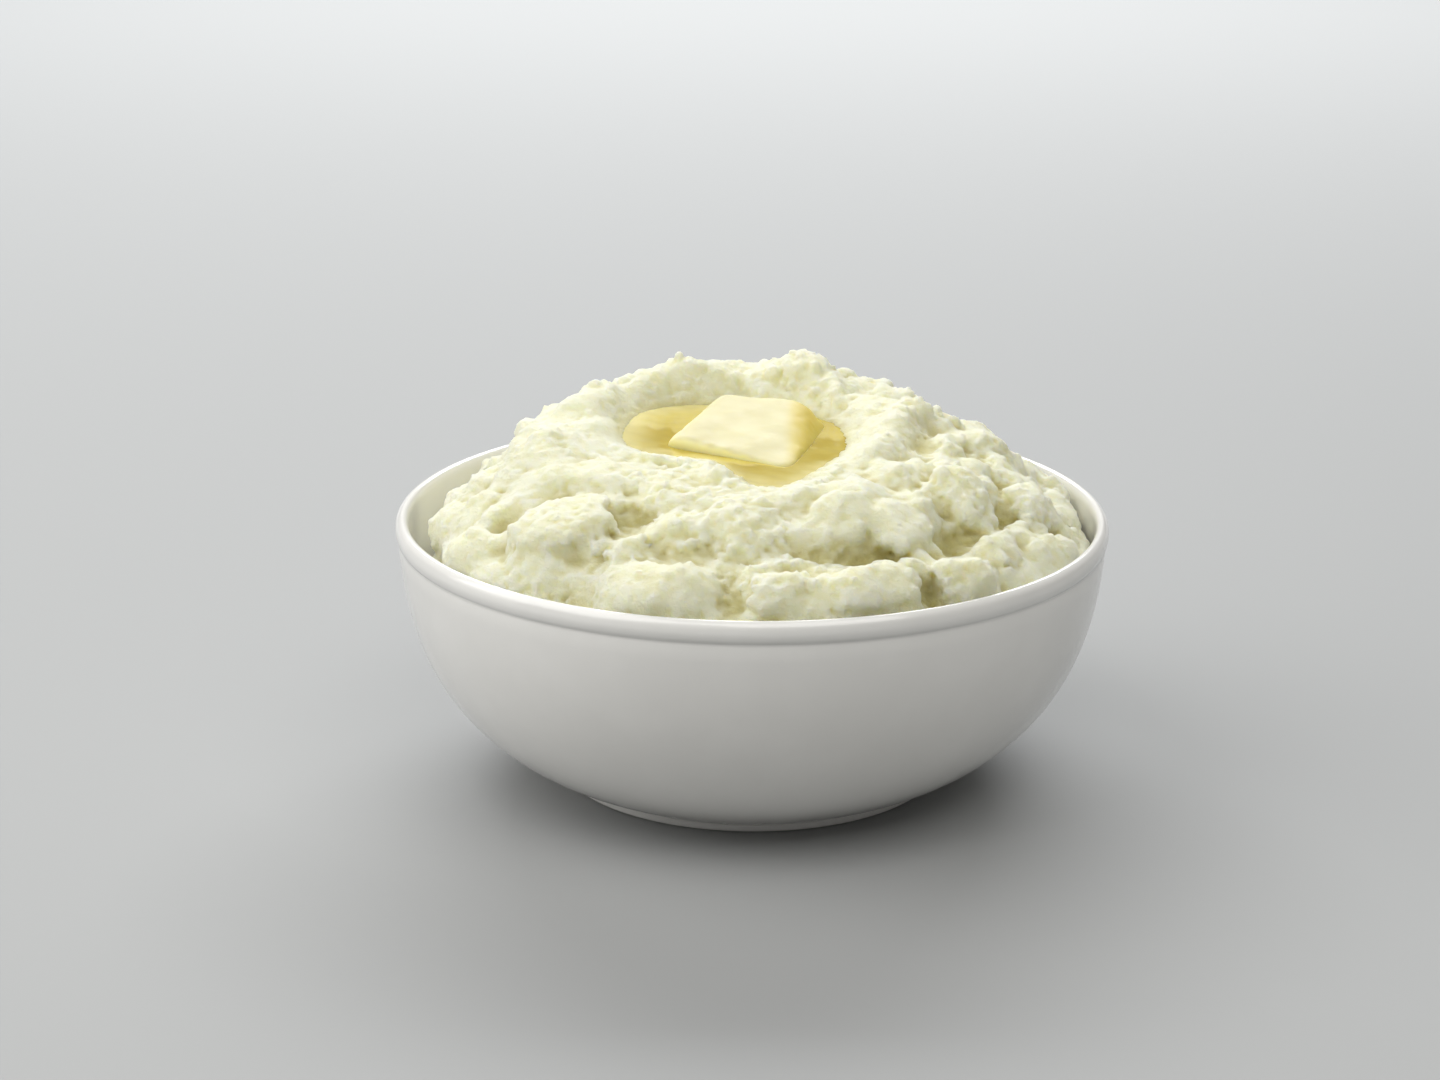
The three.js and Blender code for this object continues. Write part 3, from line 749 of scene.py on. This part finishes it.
def mash_material():
    shader = Shader("mash")
    shader.set(
        IOR=1.42,
        Specular_IOR_Level=0.2,
        Subsurface_Weight=0.85,
        Subsurface_Radius=(1.0, 0.9, 0.6),
        Subsurface_Scale=0.0055,
    )
    # Painted shade: the mash is painted darker and yellower in its small pits, hollows and valleys,
    # and in the dips of the fine grain, where shade falls.
    valley_shade = shader.remap(shader.attribute("valley_shade"), -1.6, 0.9)
    hollow_shade = shader.remap(shader.attribute("hollow_shade"), -1.2, 0.35)
    grain = shader.noise(520.0, 6.0, 0.75)
    grain_shade = shader.remap(grain, 0.36, 0.6)
    pits = shader.math("ADD", shader.attribute("pits"), shader.math("MULTIPLY", grain_shade, 0.2))
    pits = shader.remap(pits, -0.45, 0.3)
    patchy = shader.remap(shader.noise(70.0, 3.0, 0.6), 0.3, 0.7)
    lumps = shader.mix(patchy, (0.925, 0.915, 0.66), (0.94, 0.935, 0.73))
    lumps = shader.mix(pits, (0.87, 0.85, 0.55), lumps)
    lumps = shader.mix(hollow_shade, (0.82, 0.78, 0.43), lumps)
    base = shader.mix(valley_shade, (0.70, 0.64, 0.30), lumps)
    wet = shader.remap(shader.attribute("butter"), 0.1, 0.85)
    base = shader.mix(wet, base, (0.81, 0.735, 0.36))
    shader.drive("Base Color", base)
    rough = shader.remap(shader.noise(260.0, 2.0), 0.3, 0.7, 0.7, 0.88)
    shader.drive("Roughness", shader.math("SUBTRACT", rough, shader.math("MULTIPLY", wet, 0.3)))
    shader.drive("Normal", shader.bump(grain, 0.0026, 1.0))
    return shader.material


def pat_material():
    shader = Shader("butter")
    shader.set(
        IOR=1.46,
        Specular_IOR_Level=0.2,
        Subsurface_Weight=0.55,
        Subsurface_Radius=(1.0, 0.8, 0.35),
        Subsurface_Scale=0.004,
    )
    # Painted light: the top and the sides are painted as differently lit copies of the butter, the
    # top dimmer and paler and the sides brighter and yellower, to allow for how the light falls on
    # each. The sides also go darker and yellower towards the melted butter below.
    high = shader.remap(shader.attribute("above"), 0.3, 4.0)
    top_light_mask = shader.remap(shader.attribute("top_light_mask"), 0.55, 0.97)
    mottle = shader.remap(shader.noise(90.0, 3.0, 0.6), 0.3, 0.7)
    top = shader.mix(mottle, (0.575, 0.53, 0.305), (0.595, 0.555, 0.33))
    side = shader.mix(high, (0.70, 0.645, 0.275), (0.76, 0.73, 0.43))
    colour = shader.mix(top_light_mask, side, top)
    melting = shader.remap(shader.attribute("melted"), -4.5, -0.2)
    shader.drive("Base Color", shader.mix(melting, colour, (0.58, 0.46, 0.085)))
    shader.drive("Roughness", shader.remap(shader.noise(150.0, 2.0), 0.3, 0.7, 0.45, 0.6))
    shader.drive("Normal", shader.bump(shader.noise(160.0, 3.0, 0.6), 0.0003, 0.35))
    return shader.material


def pool_material():
    shader = Shader("melted_butter")
    shader.set(
        IOR=1.46,
        Subsurface_Weight=0.2,
        Subsurface_Radius=(1.0, 0.75, 0.2),
        Subsurface_Scale=0.003,
        Coat_Weight=0.25,
        Coat_Roughness=0.03,
    )
    depth = shader.remap(shader.attribute("depth"), 0.0, 7.5)
    swirl = shader.remap(shader.noise(55.0, 3.0, 0.6), 0.35, 0.68)
    deep = shader.mix(swirl, (0.46, 0.345, 0.03), (0.53, 0.42, 0.07))
    shader.drive("Base Color", shader.mix(depth, (0.73, 0.64, 0.27), deep))
    shader.drive("Roughness", shader.remap(shader.noise(80.0, 2.0), 0.3, 0.7, 0.08, 0.14))
    shader.drive("Normal", shader.bump(shader.noise(130.0, 2.0), 0.00015, 0.35))
    return shader.material


# ---- Stage ----


def add_floor():
    mesh = bpy.data.meshes.new("floor")
    half = 4.0
    corners = [(-half, -half, 0), (half, -half, 0), (half, half, 0), (-half, half, 0)]
    mesh.from_pydata(corners, [], [(0, 1, 2, 3)])
    floor = bpy.data.objects.new("floor", mesh)
    bpy.context.scene.collection.objects.link(floor)
    shader = Shader("pale_floor")
    shader.set(Base_Color=(0.34, 0.345, 0.345, 1.0), Roughness=0.7, Specular_IOR_Level=0.3)
    mesh.materials.append(shader.material)


def add_area(name, place, aim, width, height, power, colour):
    data = bpy.data.lights.new(name, "AREA")
    data.shape = "RECTANGLE"
    data.size, data.size_y = width, height
    data.energy = power
    data.color = colour
    light = bpy.data.objects.new(name, data)
    bpy.context.scene.collection.objects.link(light)
    turn = (Vector(aim) - Vector(place)).to_track_quat("-Z", "Y").to_matrix().to_4x4()
    light.matrix_world = Matrix.Translation(Vector(place)) @ turn


def light_scene():
    world = bpy.data.worlds.new("studio")
    world.use_nodes = True
    background = world.node_tree.nodes["Background"]
    background.inputs["Color"].default_value = (1.0, 0.99, 0.97, 1.0)
    background.inputs["Strength"].default_value = 0.22
    bpy.context.scene.world = world
    centre = (0.0, 0.0, 0.07)
    add_area("window", (-0.9, -0.25, 1.0), centre, 1.5, 1.3, 13.6, (1.0, 0.995, 0.98))
    add_area("overhead", (0.3, -0.65, 1.15), centre, 1.1, 0.9, 7.3, (1.0, 0.99, 0.96))
    add_area("fill", (-1.5, 0.0, 0.5), centre, 0.9, 0.8, 2.6, (1.0, 0.99, 0.97))
    add_area("backdrop", (0.0, 1.9, 1.4), (0.0, 1.5, 0.0), 2.4, 1.0, 68.0, (0.98, 0.99, 1.0))


# ---- The scene ----


def dress(piece, node, material):
    piece.data.materials.clear()
    piece.data.materials.append(material)
    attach(piece, "root")
    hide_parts(node)


add_camera()
dress(make_bowl(), "bowl", glaze_material())
mash, mash_shape = make_mash()
dress(mash, "mashed_potato", mash_material())
dress(make_pat(), "butter_pat", pat_material())
dress(make_pool(mash_shape), "melted_butter", pool_material())
add_floor()
light_scene()
bpy.context.scene.view_settings.view_transform = "Standard"
bpy.context.scene.view_settings.look = "None"
